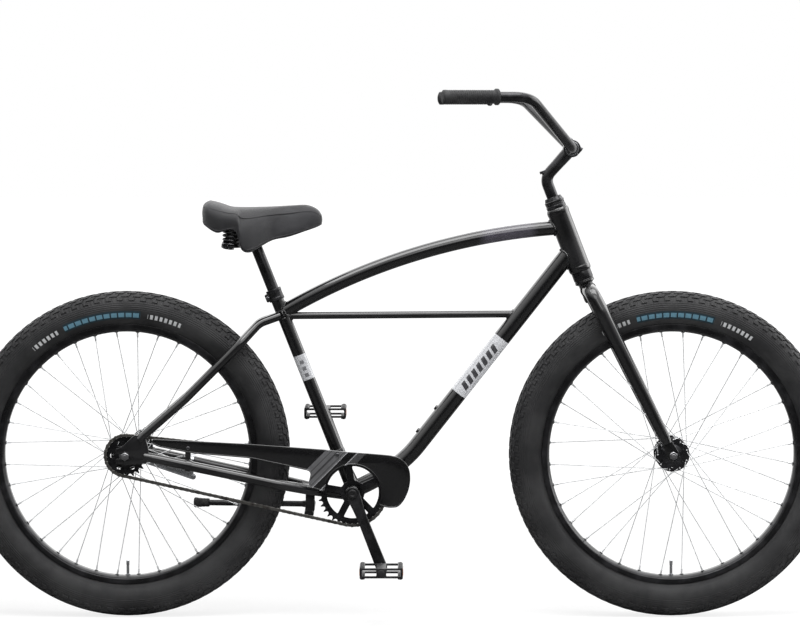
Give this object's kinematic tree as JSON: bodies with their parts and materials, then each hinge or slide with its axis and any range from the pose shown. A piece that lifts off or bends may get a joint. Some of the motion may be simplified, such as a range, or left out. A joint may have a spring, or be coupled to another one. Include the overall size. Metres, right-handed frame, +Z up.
{
  "type": "fat tire bike",
  "caption": "Cruiser bicycle with wide balloon tyres, an arched top tube, a swept handlebar, a sprung padded saddle, a covered chain drive and a side stand.",
  "frame": {"origin": "on the ground, midway between the two wheels, in the wheel plane", "axes": "+X towards the front wheel, +Y to the bike's left, +Z up"},
  "size_m": [1.907, 0.698, 1.1534],
  "materials": {
    "frame_paint": "gloss black paint over steel",
    "black_alloy": "satin black over alloy",
    "tyre_rubber": "moulded black rubber",
    "soft_rubber": "dull dark grey rubber",
    "zinc_steel": "bright zinc-plated steel",
    "chain_steel": "lightly oiled steel",
    "black_plastic": "textured black plastic",
    "saddle_vinyl": "dark grey padded vinyl"
  },
  "bodies": {
    "frame": {"head_tube": "frame_paint", "top_tube": "frame_paint", "mid_tube": "frame_paint", "down_tube": "frame_paint", "seat_tube": "frame_paint", "bracket_shell": "frame_paint", "kickstand_plate": "frame_paint", "chain_stay_left": "frame_paint", "chain_stay_right": "frame_paint", "seat_stay_left": "frame_paint", "seat_stay_right": "frame_paint", "seat_stay_bridge": "frame_paint", "seat_clamp": "black_alloy", "lower_headset_cup": "black_alloy", "upper_headset_cup": "black_alloy", "bracket_cup_left": "black_alloy", "bracket_cup_right": "black_alloy", "rear_axle": "zinc_steel", "chain": "chain_steel", "chain_guard": "frame_paint", "brake_arm": "zinc_steel", "kickstand_bracket": "black_alloy"},
    "steering": {"fork_steerer": "frame_paint", "fork_blade_left": "frame_paint", "fork_blade_right": "frame_paint", "headset_locknut": "black_alloy", "front_axle": "zinc_steel"},
    "stem": {"stem": "black_alloy", "stem_faceplate": "black_alloy", "expander_bolt": "black_alloy"},
    "handlebar": {"handlebar": "black_alloy", "grip_left": "soft_rubber", "grip_right": "soft_rubber"},
    "front_wheel": {"front_tyre": "tyre_rubber", "front_inner_tube": "soft_rubber", "front_rim": "black_alloy", "front_hub": "zinc_steel"},
    "rear_wheel": {"rear_tyre": "tyre_rubber", "rear_inner_tube": "soft_rubber", "rear_rim": "black_alloy", "rear_hub": "zinc_steel"},
    "rear_cog": {"rear_cog": "black_alloy", "cog_driver": "zinc_steel"},
    "crankset": {"chainring": "black_alloy", "crank_spindle": "zinc_steel", "crank_left": "black_alloy", "crank_right": "black_alloy", "pedal_axle_left": "zinc_steel", "pedal_axle_right": "zinc_steel"},
    "pedal_left": {"pedal_left": "black_plastic"},
    "pedal_right": {"pedal_right": "black_plastic"},
    "kickstand": {"kickstand_leg": "black_alloy", "kickstand_foot": "soft_rubber"},
    "seat_post": {"seat_post": "black_alloy"},
    "saddle": {"saddle_clamp": "black_alloy", "saddle_rails": "black_alloy", "saddle_spring_left": "chain_steel", "saddle_spring_right": "chain_steel", "saddle_base": "black_plastic", "saddle_cover": "saddle_vinyl"}
  },
  "joints": [
    {"name": "steer", "type": "hinge", "parent": "frame", "child": "steering", "pos_m": [0.40444, 0, 0.7365], "axis": [-0.3584, 0, 0.9336], "range_deg": [-80, 80]},
    {"name": "stem_height", "type": "slide", "parent": "steering", "child": "stem", "axis": [-0.3584, 0, 0.9336], "range_m": [-0.02, 0.025]},
    {"name": "bar_roll", "type": "hinge", "parent": "stem", "child": "handlebar", "pos_m": [0.3758, 0, 1.02494], "axis": [0, 1, 0], "range_deg": [-20, 20]},
    {"name": "front_wheel_spin", "type": "hinge", "parent": "steering", "child": "front_wheel", "pos_m": [0.5965, 0, 0.357], "axis": [0, 1, 0], "continuous": true},
    {"name": "rear_wheel_spin", "type": "hinge", "parent": "frame", "child": "rear_wheel", "pos_m": [-0.5965, 0, 0.357], "axis": [0, 1, 0], "continuous": true},
    {"name": "crank_spin", "type": "hinge", "parent": "frame", "child": "crankset", "pos_m": [-0.10208, 0, 0.277], "axis": [0, 1, 0], "continuous": true, "deforming": ["chain"]},
    {"name": "cog_spin", "type": "hinge", "parent": "frame", "child": "rear_cog", "pos_m": [-0.5965, 0, 0.357], "axis": [0, 1, 0], "continuous": true},
    {"name": "pedal_right_spin", "type": "hinge", "parent": "crankset", "child": "pedal_right", "pos_m": [-0.03904, -0.12, 0.11697], "axis": [0, 1, 0], "continuous": true},
    {"name": "pedal_left_spin", "type": "hinge", "parent": "crankset", "child": "pedal_left", "pos_m": [-0.16512, 0.12, 0.43703], "axis": [0, 1, 0], "continuous": true},
    {"name": "kickstand_swing", "type": "hinge", "parent": "frame", "child": "kickstand", "pos_m": [-0.19598, 0.046, 0.241], "axis": [-0.0778, -0.8579, -0.5078], "range_deg": [0, 93.39]},
    {"name": "seat_post_slide", "type": "slide", "parent": "frame", "child": "seat_post", "axis": [-0.3681, 0, 0.9298], "range_m": [-0.07, 0.05]},
    {"name": "saddle_tilt", "type": "hinge", "parent": "seat_post", "child": "saddle", "pos_m": [-0.34057, 0, 0.82505], "axis": [0, 1, 0], "range_deg": [-12, 12]}
  ],
  "couplings": [
    {"joint": "cog_spin", "follows": "crank_spin", "ratio": 1.6364}
  ]
}
